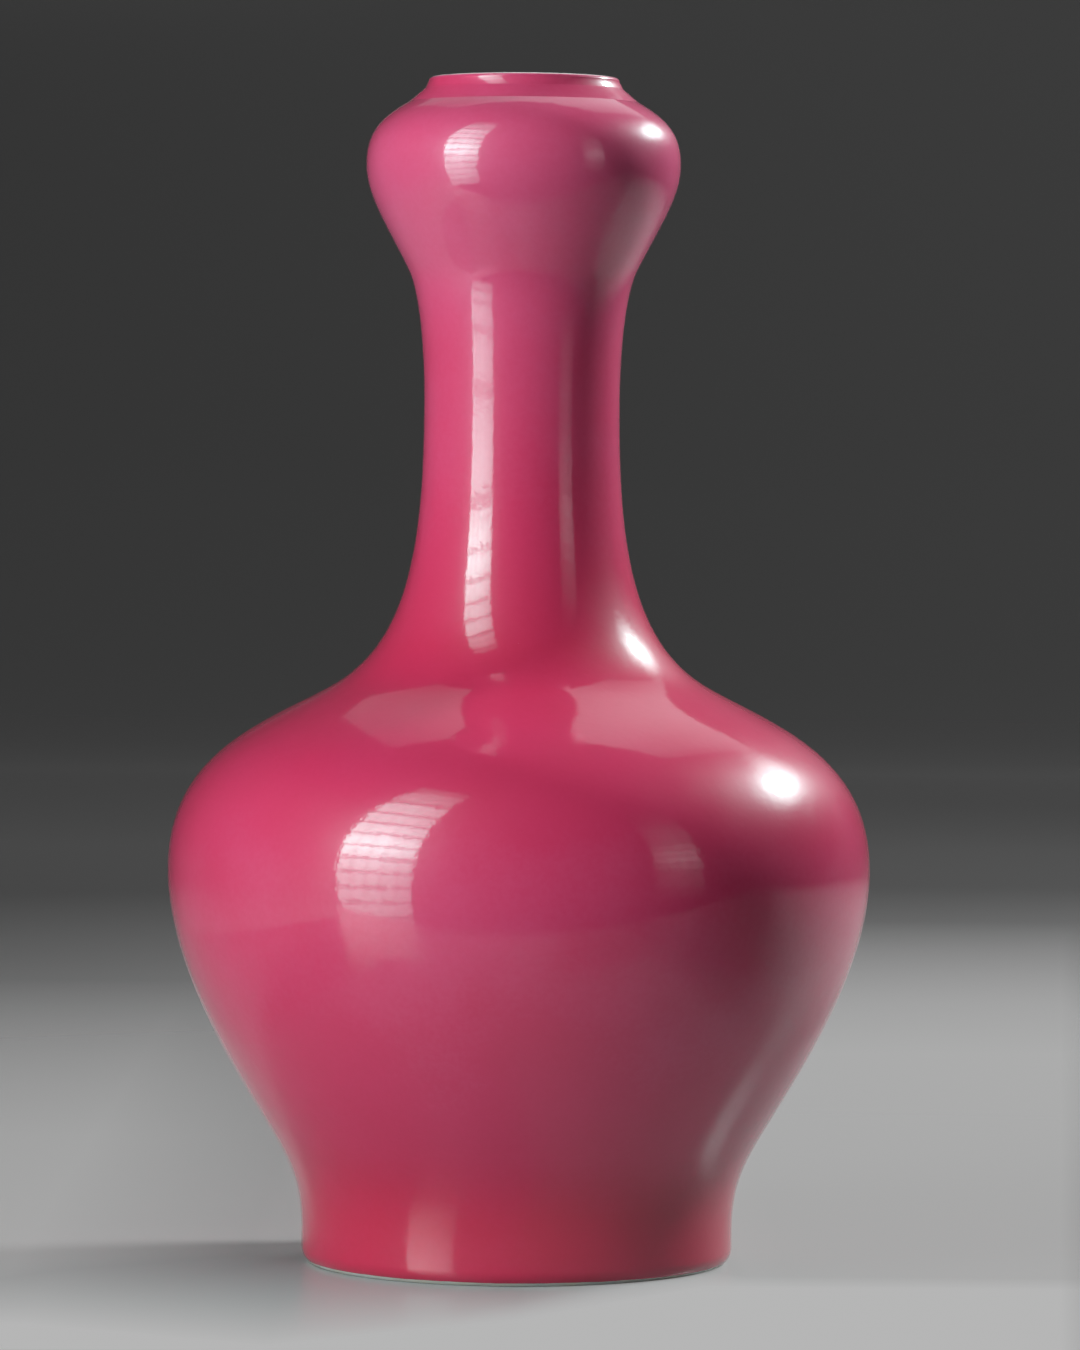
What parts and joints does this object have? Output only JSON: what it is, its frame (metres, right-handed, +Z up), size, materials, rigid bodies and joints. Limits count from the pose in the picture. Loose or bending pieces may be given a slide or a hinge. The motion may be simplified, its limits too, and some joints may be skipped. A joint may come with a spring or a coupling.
{
  "type": "garlic-head vase",
  "caption": "Porcelain vase with a globular body on an upright foot, a tall neck and a garlic-bulb mouth with a short collar; holds flowers or stands alone.",
  "frame": {"origin": "centre of the circle that the foot ring stands on", "axes": "+Z up along the vase's axis, from the foot to the mouth; the vase is round, so X and Y are alike"},
  "size_m": [0.1544, 0.1544, 0.26],
  "materials": {
    "rose_enamel": "glossy opaque rose enamel over glazed white porcelain; white glaze inside and on the base",
    "porcelain_slip": "fired white porcelain slip"
  },
  "bodies": {
    "root": {"foot_ring": "rose_enamel", "slip_foot_to_belly": "porcelain_slip", "belly": "rose_enamel", "slip_belly_to_shoulder": "porcelain_slip", "shoulder": "rose_enamel", "slip_shoulder_to_neck": "porcelain_slip", "neck": "rose_enamel", "slip_neck_to_head": "porcelain_slip", "garlic_head": "rose_enamel"}
  },
  "joints": []
}
